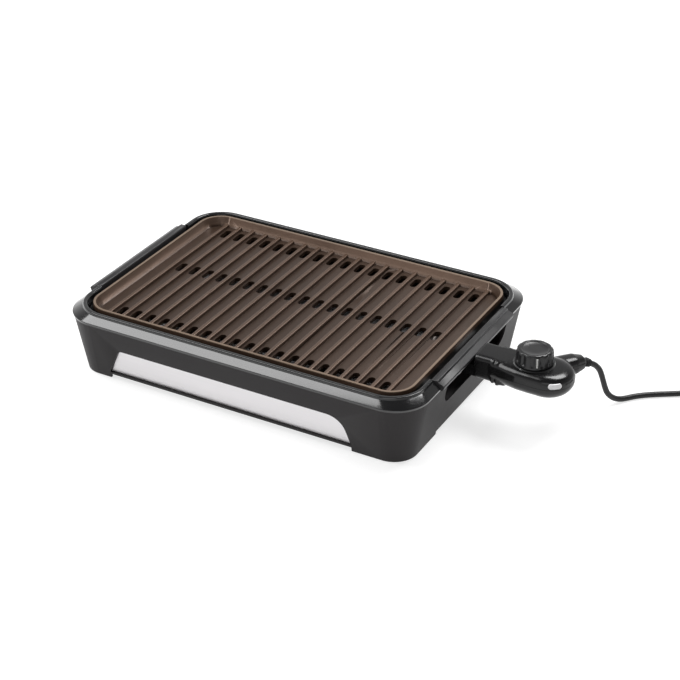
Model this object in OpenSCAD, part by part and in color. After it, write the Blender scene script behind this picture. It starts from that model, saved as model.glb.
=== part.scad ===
// Electric table grill: ribbed plate with carrying bars, resting in a moulded base over a
// drip tray, heated by a tube under the plate and run by a plug-in control with a knob.
// Millimetres. The grill stands on z = 0, its control reaches to +X and its front faces -Y.

/* [Rim and base] */
// Width of the rim, left to right
rim_w = 480; // [400:5:580]
// Depth of the rim, front to back
rim_d = 336; // [280:4:410]
// Height of the rim's bead above the table
rim_h = 88; // [73:1:106]
// Corner radius of the rim's outer edge and of the wall, in plan
edge_r = 44; // [40:1:50]
// Corner radius of the bead and of all that lies inside it, taken at the rim's edge
rim_r = 53; // [50:1:60]
// Wall of the moulded base
base_wall = 3; // [2.5:0.5:4]
// How far inside the rim's edge the wall stands at its top
wall_inset = 1.5; // [1:0.5:3]
// How much further inside the wall stands at the table
wall_taper = 13; // [10:1:16]
// Height of the underside of the base's floor above the table
floor_z = 10; // [8:1:14]
// Height of the arches between the base's legs
arch_h = 7; // [5:0.5:9]
// Diameter of a rubber foot
foot_d = 22; // [16:1:26]
// Height of a rubber foot
foot_h = 3; // [2:0.5:4]

/* [Front panel] */
// Width of the silver panel along its bottom edge
panel_w = 334; // [260:2:350]
// How far right of the rim's middle the panel's middle lies
panel_shift = -10; // [-14:1:14]
// Height of the silver panel along the wall
panel_h = 38; // [30:0.5:44]
// Thickness of the silver panel
panel_t = 1; // [0.8:0.1:1.5]
// How far the panel's face lies behind the wall's face
panel_sunk = 3; // [1:0.5:4]
// Corner radius of the panel's upper left corner
panel_r_left = 8; // [3:1:12]
// Corner radius of the panel's upper right corner
panel_r_right = 24; // [10:1:26]

/* [Cooking plate] */
// How far inside the rim's edge the plate's own rim stands
plate_inset = 22.5; // [21:0.5:26]
// Depth of the cooking surface below the plate's rim
plate_depth = 12; // [9:0.5:14]
// Thickness of the plate's floor
plate_t = 5; // [4:0.5:6]
// Distance from rib to rib
rib_pitch = 20; // [16:1:24]
// Width of a rib
rib_w = 5; // [3:0.5:7]
// Height of a rib
rib_h = 4; // [2:0.5:5]
// Width of a drain slot
slot_w = 9; // [6:0.5:10]
// Length of a drain slot
slot_l = 22; // [12:1:24]

/* [Carrying bars] */
// Length of a carrying bar
bar_l = 192; // [160:4:220]
// How far a bar stands out past the rim's edge
bar_out = 4; // [2:0.5:6]
// Length of the finger opening under a bar
grip_l = 164; // [130:2:168]
// How far the right finger opening's middle lies behind the bar's middle
grip_shift = 8; // [0:1:8]
// Height of the finger opening's lower edge above the table
grip_z = 42; // [38:1:50]
// Gap between the end of a bar and the bezel
bar_gap = 0.8; // [0.5:0.1:1.5]

/* [Drip tray] */
// Height of the drip tray
tray_h = 22; // [14:1:26]
// Sheet of the drip tray
tray_t = 1.2; // [0.8:0.1:2]
// How far inside the rim's edge the tray's lip ends
tray_inset = 41; // [40:0.5:44]

/* [Heater] */
// Diameter of the heating tube
tube_d = 8; // [6:0.5:9]
// Bend radius of the heating tube
tube_bend = 18; // [14:1:22]
// Diameter of a terminal pin
pin_d = 5; // [4:0.5:6]
// Distance between the terminal pins
pin_pitch = 18; // [16:0.5:20]
// Diameter of the sensor probe
probe_d = 6; // [5:0.5:7]

/* [Control] */
// How far the control's end stands out past the rim's edge
control_reach = 121; // [110:1:135]
// Distance from the rim's edge to the knob's axis
knob_reach = 72; // [66:1:78]
// Half width of the control's body
control_r = 31; // [29:0.5:33]
// Wall of the control's case
case_wall = 2.5; // [2:0.25:3]
// Diameter of the knob
knob_d = 44; // [40:1:46]
// Height of the knob
knob_h = 17.5; // [15:0.5:25]
// Diameter of the knob's shaft
shaft_d = 6; // [5:0.5:8]
// Width of the lamp's window
lens_w = 16; // [10:1:18]
// Height of the lamp's window
lens_h = 6.4; // [4:0.2:7]
// Diameter of the mains cord
cord_d = 7; // [6:0.5:8]

/* [Fits] */
// Clearance round a sliding or lift-out piece
slide_gap = 1; // [0.5:0.25:1.5]
// Radial clearance of a shaft or a contact pin
run_gap = 0.05; // [0.02:0.01:0.1]
// Radial clearance of a screw in its hole
screw_gap = 0.1; // [0.05:0.05:0.3]

/* [Hidden] */
$fn = 64;

// Heights of the stack, counted down from the bead
wall_top = rim_h - 12;
lip_z = rim_h - 9;
facet_z = rim_h - 3;
cook_z = rim_h - plate_depth;
plate_under = cook_z - plate_t;
ledge_z = rim_h - 16;
ledge_t = 3;
tube_z = plate_under - tube_d / 2 - 0.2;
socket_z = plate_under - 9.5;
foot_line = 1.5;
floor_t = 3;
floor_top = floor_z + floor_t;
panel_back = panel_sunk + panel_t + base_wall;
stud_s = 25;

// Insets from the rim's edge
bezel_in = 15.5;
ledge_in = 23;
flange_in = bezel_in + 1.5;
well_in = plate_inset + 8.5;
wall_in = wall_inset + base_wall;
recess_in = 34;
floor_inset = wall_inset + wall_taper;
wall_tilt = atan(wall_taper / (wall_top - foot_line));

// Plan of the control, along X from the rim's edge
shift_x = (control_reach - bar_out) / 2;
edge_x = rim_w / 2;
knob_x = edge_x + knob_reach;
end_x = edge_x + control_reach - control_r;
neck_x = edge_x + bar_out + 0.5;
body_x = edge_x + 36;
nose_x = edge_x - 35;
shroud_x0 = edge_x - 52;
shroud_x1 = edge_x - 14;
block_x0 = edge_x - 51;
block_x1 = edge_x - 38;

// Section of the control
case_top = rim_h - 4;
case_bottom = rim_h - 38;
parting_z = rim_h - 18;
seat_z = case_bottom + 11;
neck_half = 20;
nose_half = 15.5;
nose_h = 15;
shroud_half = nose_half + slide_gap + 1.5;

// Screws
screw_d = 3;
head_d = 5.6;
head_h = 2;

// Mains cord: the spout points back at this angle, and the relief droops from its end
cord_r = cord_d / 2;
exit_angle = 52;
exit_droop = 25;
spout_end = 65;
cord_sides = 10;
coil_x = 450;
coil_y = 136;
coil_mid = 38;
lens_angle = -53;
pointer_angle = -60;
tail_x = 491.5;
plug_r = 19;
lead_route = [
    [299.7, 59.1, 65.4], [302.9, 63.3, 62.2], [305.8, 66.9, 58], [308, 69.8, 53],
    [309.6, 71.9, 47.3], [314.5, 78.1, 24.4], [316.2, 80.2, 18.6], [318.5, 83.2, 13.5],
    [321.5, 87, 9.3], [324.9, 91.4, 6.1], [328.6, 96.2, 4.2], [332.5, 101.2, 3.5],
    [340.3, 110.1, 3.5], [349, 118.1, 3.5], [358.5, 125.2, 3.5], [377.5, 137.7, 3.5],
    [396.4, 150.3, 3.5], [415.4, 162.9, 3.5]
];
tail_route = [
    [491.5, 121, 10.5], [491.5, 114, 11.2], [491.5, 107, 13.1], [491.5, 100, 15.7],
    [491.5, 93, 18], [491.5, 86, 19], [491.5, 80, 19]
];
tail_end = 80;

function unit(v) = v / norm(v);

// Points of a polygon whose corners [x, y, radius] are rounded
function rounded(corners, steps = 6) = [
    for (i = [0:len(corners) - 1])
        let (count = len(corners), c = corners[i])
        let (a = corners[(i + count - 1) % count], b = corners[(i + 1) % count])
        let (at = [c[0], c[1]])
        let (u = unit([a[0], a[1]] - at), v = unit([b[0], b[1]] - at))
        let (half = acos(u * v) / 2)
        each c[2] == 0 ? [at] : let (mid = at + unit(u + v) * c[2] / sin(half))
            let (p0 = at + u * c[2] / tan(half) - mid, p1 = at + v * c[2] / tan(half) - mid)
            [for (k = [0:steps]) mid + c[2] * unit(p0 * (steps - k) + p1 * k)]
];

// Moves a piece from the plate's centre to the origin's place under the whole grill's centre
module place() {
    translate([-shift_x, 0, 0]) children();
}

// Height to inset of the wall's outer face
function wall_at(z) = wall_inset + wall_taper * (wall_top - z) / (wall_top - foot_line);

// Rounded rectangle of the rim's outline, taken inwards by inset
module plan(inset, corner = rim_r) {
    r = corner - inset;
    w = rim_w - 2 * inset;
    d = rim_d - 2 * inset;
    square([w - 2 * r, d], center = true);
    square([w, d - 2 * r], center = true);
    for (sx = [-1, 1], sy = [-1, 1])
        translate([sx * (w / 2 - r), sy * (d / 2 - r)]) circle(r);
}

// Sweeps a profile of [inset, height] points round the rim's outline
module ring(profile, corner = rim_r) {
    cx = rim_w / 2 - corner;
    cy = rim_d / 2 - corner;
    section = [for (p = profile) [corner - p[0], p[1]]];
    for (q = [0:3]) {
        sx = (q == 0 || q == 3) ? 1 : -1;
        sy = (q < 2) ? 1 : -1;
        translate([sx * cx, sy * cy, 0]) rotate([0, 0, 90 * q])
            rotate_extrude(angle = 90) polygon(section);
    }
    for (turn = [0, 180])
        rotate([0, 0, turn]) {
            translate([cx, cy, 0]) rotate([90, 0, 0]) linear_extrude(2 * cy) polygon(section);
            rotate([0, 0, 90]) translate([cy, cx, 0]) rotate([90, 0, 0])
                linear_extrude(2 * cx) polygon(section);
        }
}

// Puts flat work on the sloping front wall: x along the wall, y up it, z outwards
module on_front() {
    translate([0, -(rim_d / 2 - floor_inset), foot_line]) rotate([90 + wall_tilt, 0, 0])
        children();
}

// Outline of the silver panel, grown by a margin on every side
module panel_outline(grow = 0) {
    low = 8.5 - grow;
    high = 8.5 + panel_h + grow;
    left = panel_shift - panel_w / 2 - grow;
    right = panel_shift + panel_w / 2 + grow;
    polygon(rounded([
        [left, low, 0], [right, low, 0],
        [right - 11, high, panel_r_right], [left + 19, high, panel_r_left]
    ]));
}

// A screw along +Z with its head below the origin
module screw(length, d = screw_d, head = head_d) {
    cylinder(d = d, h = length);
    translate([0, 0, -head_h]) cylinder(d = head, h = head_h);
}

function stud_places() = [for (k = [-0.36, 0, 0.36]) panel_shift + k * panel_w];

function foot_places() = [
    for (sx = [-1, 1], sy = [-1, 1]) [sx * (rim_w / 2 - 46), sy * (rim_d / 2 - 46)]
];

function bezel_screw_places(sy) = [
    for (x = [-0.35, 0, 0.35]) [x * rim_w, sy * (rim_d / 2 - 13.4)]
];

// A hole cut along X through a side wall, open at its top, with rounded lower corners
module side_notch(half, low, high, x0, x1, r) {
    translate([x0, 0, 0]) rotate([90, 0, 90]) linear_extrude(x1 - x0)
        polygon(rounded([[-half, low, r], [half, low, r], [half, high, 0], [-half, high, 0]]));
}

module base_shell() {
    wall = [
        [floor_inset, foot_line], [wall_inset, wall_top],
        [wall_in, wall_top], [floor_inset + base_wall, foot_line]
    ];
    pocket_half = bar_l / 2 - 2;
    pocket_top = ledge_z - 5;
    rest_x = edge_x - recess_in;
    shelf_z = grip_z - base_wall - 1;
    color("#2c2b2d") place() difference() {
        union() {
            difference() {
                union() {
                    ring(wall, edge_r);
                    translate([0, 0, ledge_z - ledge_t]) linear_extrude(ledge_t) difference() {
                        plan(wall_in - 1, edge_r);
                        plan(ledge_in);
                    }
                }
                for (side = [0, 180]) rotate([0, 0, side]) {
                    translate([0, grip_shift, 0])
                        side_notch(grip_l / 2, grip_z, rim_h, rest_x, edge_x + 5, 16);
                    translate([rest_x, -pocket_half, ledge_z - ledge_t - 1])
                        cube([recess_in - wall_in - 1.5, 2 * pocket_half, 2 * ledge_t]);
                }
            }
            translate([0, 0, floor_z]) linear_extrude(floor_t) plan(floor_inset, edge_r);
            on_front() translate([0, 0, -panel_back])
                linear_extrude(panel_back - base_wall + 0.5) panel_outline(3);
            for (side = [0, 180]) rotate([0, 0, side]) {
                translate([rest_x, -pocket_half, floor_top - 1])
                    cube([base_wall, 2 * pocket_half, pocket_top - floor_top + 1]);
                translate([rest_x, -pocket_half, shelf_z])
                    cube([recess_in - wall_at(shelf_z) - 1.5, 2 * pocket_half, base_wall]);
                for (y = [-pocket_half + 3, pocket_half])
                    translate([0, y, 0]) rotate([90, 0, 0]) linear_extrude(3) polygon([
                        [rest_x, floor_top - 1], [edge_x - wall_at(floor_top - 1) - 1.5, floor_top - 1],
                        [edge_x - wall_at(pocket_top) - 1.5, pocket_top], [rest_x, pocket_top]
                    ]);
            }
            for (p = foot_places())
                translate([p[0], p[1], foot_h]) cylinder(d = foot_d + 4, h = floor_z - foot_h + 1);
        }
        panel_cut();
        for (p = foot_places())
            translate([p[0], p[1], foot_h - 1]) cylinder(d = 6 + 2 * screw_gap, h = 6);
        for (sy = [-1, 1]) {
            for (p = bezel_screw_places(sy)) translate([p[0], p[1], ledge_z - ledge_t]) {
                translate([0, 0, -1]) cylinder(d = screw_d + 2 * screw_gap, h = ledge_t + 2);
                translate([0, 0, -head_h - 1]) cylinder(d = head_d + 0.6, h = head_h + 1);
            }
            translate([panel_shift - panel_w / 2, sy * rim_d / 2 - 40, 0])
                cube([panel_w, 80, arch_h]);
            translate([sy * rim_w / 2 - 40, -rim_d / 2 + 92, 0])
                cube([80, rim_d - 184, arch_h - 1]);
        }
        translate([rest_x - 1, -shroud_half - 3, socket_z - 16.5])
            cube([recess_in + 10, 2 * shroud_half + 6, rim_h]);
    }
}

// Space that the silver panel and its studs take in the front wall
module panel_cut() {
    on_front() {
        translate([0, 0, -panel_t - panel_sunk]) linear_extrude(10) panel_outline(0.2);
        for (x = stud_places())
            translate([x, stud_s, -panel_back - 2]) cylinder(d = 4 + 2 * screw_gap, h = 14);
    }
}

// The glossy frame on top of the wall: its facet, step and bead, front or rear half
module bezel(side) {
    facet = [
        [0.6, wall_top], [0, lip_z], [9.2, facet_z], [bezel_in, facet_z], [bezel_in, wall_top]
    ];
    bead = [
        [9.8, facet_z - 1], [9.8, rim_h - 0.8], [10.6, rim_h], [13.6, rim_h],
        [bezel_in, rim_h - 1.5], [bezel_in, ledge_z], [11.4, ledge_z], [11.4, facet_z - 1]
    ];
    color("#121214") place() difference() {
        union() {
            ring(facet, edge_r);
            ring(bead);
        }
        translate([-rim_w, side > 0 ? -rim_d : -bar_l / 2 - bar_gap, 0])
            cube([2 * rim_w, rim_d + bar_l / 2 + bar_gap, 2 * rim_h]);
        for (p = bezel_screw_places(side))
            translate([p[0], p[1], ledge_z - 1]) cylinder(d = screw_d + 2 * screw_gap, h = 11);
    }
}

module front_bezel() {
    bezel(-1);
}

module rear_bezel() {
    bezel(1);
}

module bezel_screws() {
    color("#8d8f92") place() for (sy = [-1, 1], p = bezel_screw_places(sy))
        translate([p[0], p[1], ledge_z - ledge_t]) screw(ledge_t + 9);
}

module front_panel() {
    color("#d9d7d8") place() on_front() {
        translate([0, 0, -panel_t - panel_sunk]) linear_extrude(panel_t) panel_outline();
        for (x = stud_places())
            translate([x, stud_s, -panel_back - 2]) cylinder(d = 4, h = base_wall + 2.5);
    }
}

module panel_clips() {
    color("#9a9ca0") place() on_front() for (x = stud_places())
        translate([x, stud_s, -panel_back - 0.9]) difference() {
            cylinder(d = 11, h = 0.9);
            translate([0, 0, -1]) cylinder(d = 4 + 2 * run_gap, h = 3);
        }
}

module rubber_feet() {
    color("#1b1b1b") place() for (p = foot_places())
        translate([p[0], p[1], 0]) {
            cylinder(d = foot_d, h = foot_h);
            cylinder(d = 6, h = foot_h + 4);
        }
}

module drip_tray() {
    outer = tray_inset + 6;
    lip = [
        [tray_inset, floor_top + tray_h], [tray_inset, floor_top + tray_h - tray_t],
        [outer + 0.5, floor_top + tray_h - tray_t], [outer + 0.5, floor_top + tray_h]
    ];
    color("#b9bbbd") place() {
        difference() {
            translate([0, 0, floor_top]) linear_extrude(tray_h) plan(outer);
            translate([0, 0, floor_top + tray_t]) linear_extrude(tray_h) plan(outer + tray_t);
        }
        ring(lip);
    }
}

rib_count = floor((rim_w - 2 * well_in - rib_w - 8) / rib_pitch / 2);
lug_y = 62;
lug_x = edge_x - 6;

function rib_places() = [
    for (i = [1:rib_count], s = [-1, 1]) s * (i - 0.5) * rib_pitch
];

function slot_places() = [
    for (i = [1 - rib_count:rib_count - 1], y = [-slot_row, slot_mid, slot_row]) [i * rib_pitch, y]
];

slot_row = rim_d / 2 - well_in - slot_l / 2 - 8;
slot_mid = 12;

// Straps that hold the heating tube: [x, y, 0 when the tube runs along X and 90 along Y]
outer_y = rim_d / 2 - 68;
inner_y = outer_y / 2 - 5;
outer_x = rim_w / 2 - 70;
inner_x = outer_x - 60;
clamp_dx = 4.5 * rib_pitch;
boss_dy = tube_d / 2 + 5;
function clamp_places() = [
    for (sx = [-1, 1], sy = [-1, 1]) [sx * clamp_dx, sy * outer_y],
    for (sy = [-1, 1]) [-1.5 * rib_pitch, sy * inner_y]
];
strap_z = tube_z - tube_d / 2 - 0.2;

module cooking_plate() {
    rim = [
        [plate_inset, rim_h], [plate_inset + 3, rim_h], [well_in, cook_z],
        [well_in + 1, plate_under], [ledge_in + 0.5, plate_under], [ledge_in + 0.5, ledge_z],
        [flange_in, ledge_z], [flange_in, cook_z], [plate_inset - 2, cook_z]
    ];
    probe_h = plate_under - socket_z + 5;
    boss_half = (pin_pitch - tube_d) / 2 - 0.3;
    color("#4a3a30") place() difference() {
        union() {
            ring(rim);
            translate([0, 0, plate_under]) linear_extrude(plate_t) plan(well_in - 0.5);
            for (x = rib_places())
                translate([x - rib_w / 2, -rim_d / 2 + well_in - 1, cook_z - 1])
                    cube([rib_w, rim_d - 2 * well_in + 2, rib_h + 1]);
            for (side = [0, 180], sy = [-1, 1])
                rotate([0, 0, side]) translate([edge_x - plate_inset - 1, sy * lug_y - 9, ledge_z + 1])
                    cube([plate_inset - 1, 18, 3]);
            for (p = clamp_places(), s = [-1, 1])
                translate([p[0], p[1] + s * boss_dy, strap_z]) cylinder(d = 9, h = plate_under - strap_z + 1);
            translate([shroud_x0 - 60, -boss_half, socket_z - 5])
                cube([57, 2 * boss_half, probe_h + 1]);
        }
        for (p = slot_places()) translate([p[0], p[1], plate_under - 1]) slot_cut();
        for (side = [0, 180], sy = [-1, 1])
            rotate([0, 0, side]) translate([lug_x, sy * lug_y, ledge_z])
                cylinder(d = screw_d + 2 * screw_gap, h = 6);
        for (p = clamp_places(), s = [-1, 1])
            translate([p[0], p[1] + s * boss_dy, strap_z - 1]) cylinder(d = screw_d + 2 * screw_gap, h = 8);
        for (sy = [-1, 1])
            translate([shroud_x0 + 8, sy * (shroud_half + 6), plate_under - 1])
                cylinder(d = screw_d + 2 * screw_gap, h = plate_t - 0.5);
        translate([shroud_x0 - 61, 0, socket_z]) rotate([0, 90, 0]) cylinder(d = probe_d + 0.6, h = 60);
    }
}

// A drain slot with round ends, long along Y, cut up through the plate
module slot_cut() {
    straight = slot_l - slot_w;
    linear_extrude(plate_t + 2) {
        square([slot_w, straight], center = true);
        for (s = [-1, 1]) translate([0, s * straight / 2]) circle(d = slot_w);
    }
}

// A carrying bar: strip on top, facet outside, screwed up from the plate's lugs
module handle(side) {
    reach = edge_x + bar_out;
    section = rounded([
        [reach, facet_z - 7, 1], [reach, facet_z - 5.6, 0.5], [reach - 8, facet_z, 0.8],
        [reach - 8.6, rim_h - 0.5, 0.8], [reach - 16.4, rim_h - 0.5, 1.5],
        [reach - 17, wall_top, 1], [reach - 2, wall_top, 1]
    ], 3);
    color("#222224") place() rotate([0, 0, side > 0 ? 0 : 180]) difference() {
        translate([0, bar_l / 2, 0]) rotate([90, 0, 0]) linear_extrude(bar_l) polygon(section);
        for (sy = [-1, 1])
            translate([lug_x, sy * lug_y, wall_top - 1]) cylinder(d = screw_d + 2 * screw_gap, h = 9);
    }
}

module handle_left() {
    handle(-1);
}

module handle_right() {
    handle(1);
}

module handle_screws() {
    color("#8d8f92") place() for (side = [0, 180], sy = [-1, 1])
        rotate([0, 0, side]) translate([lug_x, sy * lug_y, ledge_z + 1]) screw(10);
}

// Corners of the heating tube's path, from one terminal round to the other
function tube_path() = [
    [block_x0 + 6, pin_pitch / 2], [outer_x + 5, pin_pitch / 2], [outer_x + 5, outer_y],
    [-outer_x, outer_y], [-outer_x, inner_y], [inner_x, inner_y], [inner_x, -inner_y],
    [-outer_x, -inner_y], [-outer_x, -outer_y], [outer_x + 5, -outer_y],
    [outer_x + 5, -pin_pitch / 2], [block_x0 + 6, -pin_pitch / 2]
];

function bend_at(path, i) = (i == 0 || i == len(path) - 1) ? 0
    : (i == 1 || i == len(path) - 2) ? min(tube_bend, 8) : tube_bend;

module heating_element() {
    path = tube_path();
    color("#7c7e82") place() translate([0, 0, tube_z]) {
        for (i = [0:len(path) - 2]) {
            along = unit(path[i + 1] - path[i]);
            from = path[i] + along * bend_at(path, i);
            to = path[i + 1] - along * bend_at(path, i + 1);
            translate([from[0], from[1], 0]) rotate([0, 0, atan2(along[1], along[0])])
                rotate([0, 90, 0]) cylinder(d = tube_d, h = norm(to - from));
        }
        for (i = [1:len(path) - 2]) {
            r = bend_at(path, i);
            u = unit(path[i - 1] - path[i]);
            v = unit(path[i + 1] - path[i]);
            centre = path[i] + (u + v) * r;
            first = atan2(-v[1], -v[0]);
            second = atan2(-u[1], -u[0]);
            start = cross([cos(first), sin(first)], [cos(second), sin(second)]) > 0 ? first : second;
            translate([centre[0], centre[1], 0]) rotate([0, 0, start])
                rotate_extrude(angle = 90) translate([r, 0]) circle(d = tube_d);
        }
    }
}

module element_clamps() {
    length = 2 * boss_dy + 9;
    color("#9a9ca0") place() for (p = clamp_places())
        translate([p[0], p[1], strap_z - 1.5]) difference() {
            translate([-5, -length / 2, 0]) cube([10, length, 1.5]);
            for (s = [-1, 1]) translate([0, s * boss_dy, -1])
                cylinder(d = screw_d + 2 * screw_gap, h = 4);
        }
}

module clamp_screws() {
    color("#8d8f92") place() for (p = clamp_places(), s = [-1, 1])
        translate([p[0], p[1] + s * boss_dy, strap_z - 1.5]) screw(7);
}

// Ceramic block that takes the heating tube's ends and holds the pins
module terminal_block() {
    half = shroud_half - 1.5;
    color("#e6e1d6") place() difference() {
        translate([block_x0, -half, socket_z - 8.5]) cube([block_x1 - block_x0, 2 * half, 18]);
        for (s = [-1, 1]) {
            translate([block_x0 - 1, s * pin_pitch / 2, tube_z]) rotate([0, 90, 0])
                cylinder(d = tube_d + 2 * screw_gap, h = 7);
            translate([block_x0 + 7.5, s * pin_pitch / 2, socket_z]) rotate([0, 90, 0])
                cylinder(d = pin_d + 2 * run_gap, h = 20);
        }
        translate([block_x0 - 1, 0, socket_z]) rotate([0, 90, 0]) cylinder(d = probe_d + 1, h = 30);
    }
}

module terminal_pins() {
    color("#c8cacd") place() for (s = [-1, 1])
        translate([block_x0 + 7.7, s * pin_pitch / 2, socket_z]) rotate([0, 90, 0])
            cylinder(d = pin_d, h = shroud_x1 - block_x0 - 9);
}

// Sheet-metal channel round the pins, open towards the control
module socket_shroud() {
    low = socket_z - 9.5;
    high = plate_under;
    length = shroud_x1 - shroud_x0;
    color("#aeb0b3") place() difference() {
        union() {
            translate([shroud_x0, -shroud_half, low]) cube([length, 2 * shroud_half, high - low]);
            translate([shroud_x0, -shroud_half - 11, high - 1]) cube([16, 2 * shroud_half + 22, 1]);
        }
        translate([shroud_x0 - 1, -shroud_half + 1, low + 1])
            cube([length + 2, 2 * shroud_half - 2, high - low + 1]);
        for (sy = [-1, 1])
            translate([shroud_x0 + 8, sy * (shroud_half + 6), high - 3])
                cylinder(d = screw_d + 2 * screw_gap, h = 5);
    }
}

module shroud_screws() {
    color("#8d8f92") place() for (sy = [-1, 1])
        translate([shroud_x0 + 8, sy * (shroud_half + 6), plate_under - 1]) screw(4.2);
}

// Section of the control's body as [half width, height], inwards by a wall
function body_section(inset) = [
    [0, case_top - inset], [control_r - 10 - inset * 0.4, case_top - inset],
    [control_r - 3 - inset, case_top - 2.5 - inset * 0.4], [control_r - inset, parting_z + 8.4],
    [control_r - inset, parting_z - 4], [control_r - 5 - inset, case_bottom + 8],
    [control_r - 14 - inset, case_bottom + 1.5 + inset * 0.6], [0, case_bottom + inset]
];

// The control's outer shape, or its hollow when inset is the wall
module control_form(inset) {
    section = body_section(inset);
    mirrored = [for (i = [len(section) - 2:-1:1]) [-section[i][0], section[i][1]]];
    shoulder = 53;
    translate([end_x, 0, 0]) rotate([0, 0, -90]) rotate_extrude(angle = 180) polygon(section);
    intersection() {
        translate([body_x + inset, 0, 0]) rotate([90, 0, 90])
            linear_extrude(end_x - body_x - inset) polygon(concat(section, mirrored));
        translate([0, 0, case_bottom - 1]) linear_extrude(case_top - case_bottom + 2) polygon([
            [body_x, neck_half + 4 - inset], [body_x + 16, control_r - 2 - inset],
            [end_x, control_r + 1], [end_x, -control_r - 1],
            [body_x + 16, -control_r + 2 + inset], [body_x, -neck_half - 4 + inset]
        ]);
    }
    translate([neck_x + inset, 0, 0]) rotate([90, 0, 90])
        linear_extrude(body_x - neck_x + 1) neck_plan(inset);
    translate([knob_x, 0, parting_z]) rotate([0, 90, exit_angle]) {
        translate([0, 0, 20]) cylinder(r1 = 13 - inset, r2 = 12 - inset, h = shoulder - 20);
        translate([0, 0, shoulder])
            cylinder(r1 = 12 - inset, r2 = 8 - inset, h = spout_end - shoulder + (inset > 0 ? 1 : 0));
    }
}

// Section of the control's neck
module neck_plan(inset) {
    half = neck_half - inset;
    polygon(rounded([
        [-half, case_bottom - 3 + inset, 6], [half, case_bottom - 3 + inset, 6],
        [half, case_top - inset, 7], [-half, case_top - inset, 7]
    ], 4));
}

function case_screw_places() = [
    [body_x + 5, 15], [body_x + 5, -15], [end_x + 20, 9], [end_x + 20, -9]
];

module half_case(top) {
    low = top ? parting_z : case_bottom - 10;
    high = top ? case_top + 10 : parting_z;
    difference() {
        intersection() {
            control_form(0);
            translate([edge_x, -60, low]) cube([200, 120, high - low]);
        }
        difference() {
            control_form(case_wall);
            for (p = case_screw_places())
                translate([p[0], p[1], 0]) cylinder(d = 7, h = 2 * rim_h);
        }
        nose_cut();
        for (p = case_screw_places())
            translate([p[0], p[1], case_bottom - 5])
                cylinder(d = screw_d + 2 * screw_gap, h = seat_z - case_bottom + 22);
        relief_cut();
    }
}

// Space for the nose block through the neck's face
module nose_cut() {
    translate([neck_x - 1, -nose_half - 0.1, socket_z - nose_h / 2 - 0.1])
        cube([body_x - neck_x, 2 * nose_half + 0.2, nose_h + 0.2]);
}

// Space for the strain relief in the spout
module relief_cut() {
    translate([knob_x, 0, parting_z]) rotate([0, 90, exit_angle]) translate([0, 0, spout_end - 10])
        cylinder(d = 11 + 2 * screw_gap, h = 14);
}

module control_top_case() {
    color("#1d1d1f") place() difference() {
        half_case(true);
        translate([knob_x, 0, parting_z]) cylinder(d = 13 + 2 * screw_gap, h = 30);
        lens_cut();
    }
}

module control_bottom_case() {
    color("#19191b") place() difference() {
        half_case(false);
        for (p = case_screw_places())
            translate([p[0], p[1], case_bottom - 10])
                cylinder(d = head_d + 0.4, h = seat_z - case_bottom + 10);
    }
}

// Insulating block that carries the contact sleeves and the probe into the socket
module control_nose() {
    color("#202022") place() difference() {
        translate([nose_x, -nose_half, socket_z - nose_h / 2])
            cube([body_x - 4 - nose_x, 2 * nose_half, nose_h]);
        for (s = [-1, 1]) translate([nose_x - 1, s * pin_pitch / 2, socket_z]) rotate([0, 90, 0])
            cylinder(d = pin_d + 3.2, h = 50);
        translate([nose_x - 1, 0, socket_z]) rotate([0, 90, 0])
            cylinder(d = probe_d + 2 * run_gap, h = 90);
    }
}

module contact_sleeves() {
    color("#c9a24a") place() for (s = [-1, 1])
        translate([nose_x + 0.5, s * pin_pitch / 2, socket_z]) rotate([0, 90, 0]) difference() {
            cylinder(d = pin_d + 3, h = 46);
            translate([0, 0, -1]) cylinder(d = pin_d + 2 * run_gap, h = 30);
        }
}

module sensor_probe() {
    tip = shroud_x0 - 52;
    color("#c8cacd") place() translate([tip, 0, socket_z]) rotate([0, 90, 0]) {
        cylinder(d = probe_d, h = body_x + 6 - tip);
        cylinder(d1 = probe_d - 2, d2 = probe_d, h = 1);
    }
}

// Thermostat with the bushing that the knob's shaft turns in
module thermostat() {
    color("#d8d2c4") place() difference() {
        union() {
            translate([knob_x - 24, -13, socket_z - 5]) cube([38, 26, parting_z - socket_z + 9]);
            translate([knob_x, 0, parting_z + 3]) cylinder(d = 13, h = case_top - parting_z - 3.5);
        }
        translate([knob_x, 0, parting_z]) cylinder(d = shaft_d + 2 * run_gap, h = 30);
    }
}

module case_screws() {
    color("#8d8f92") place() for (p = case_screw_places())
        translate([p[0], p[1], seat_z]) screw(16);
}

// Raised collar round the knob's foot
module dial_ring() {
    color("#202022") place() translate([knob_x, 0, case_top]) difference() {
        cylinder(d1 = knob_d + 5, d2 = knob_d + 3, h = 1.2);
        translate([0, 0, -1]) cylinder(d = 15, h = 4);
    }
}

// Carries work to the lamp's window in the near wall of the control's round end
module at_lens() {
    translate([end_x, 0, parting_z + 5]) rotate([0, 0, lens_angle]) children();
}

// A bar with round ends that stands across the wall, thicker by grow on every side
module window_bar(grow) {
    radius = lens_h / 2 + grow;
    span = lens_w / 2 - lens_h / 2;
    rotate([90, 0, 90]) linear_extrude(control_r + 5) {
        square([2 * span, 2 * radius], center = true);
        for (s = [-1, 1]) translate([s * span, 0]) circle(radius);
    }
}

module lens_cut() {
    at_lens() window_bar(screw_gap);
}

module indicator_lens() {
    color("#eef0f0") place() at_lens() intersection() {
        window_bar(0);
        translate([0, 0, -lens_h]) difference() {
            cylinder(r = control_r + 0.3, h = 2 * lens_h);
            translate([0, 0, -1]) cylinder(r = control_r - case_wall - 0.4, h = 2 * lens_h + 2);
        }
    }
}

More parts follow.
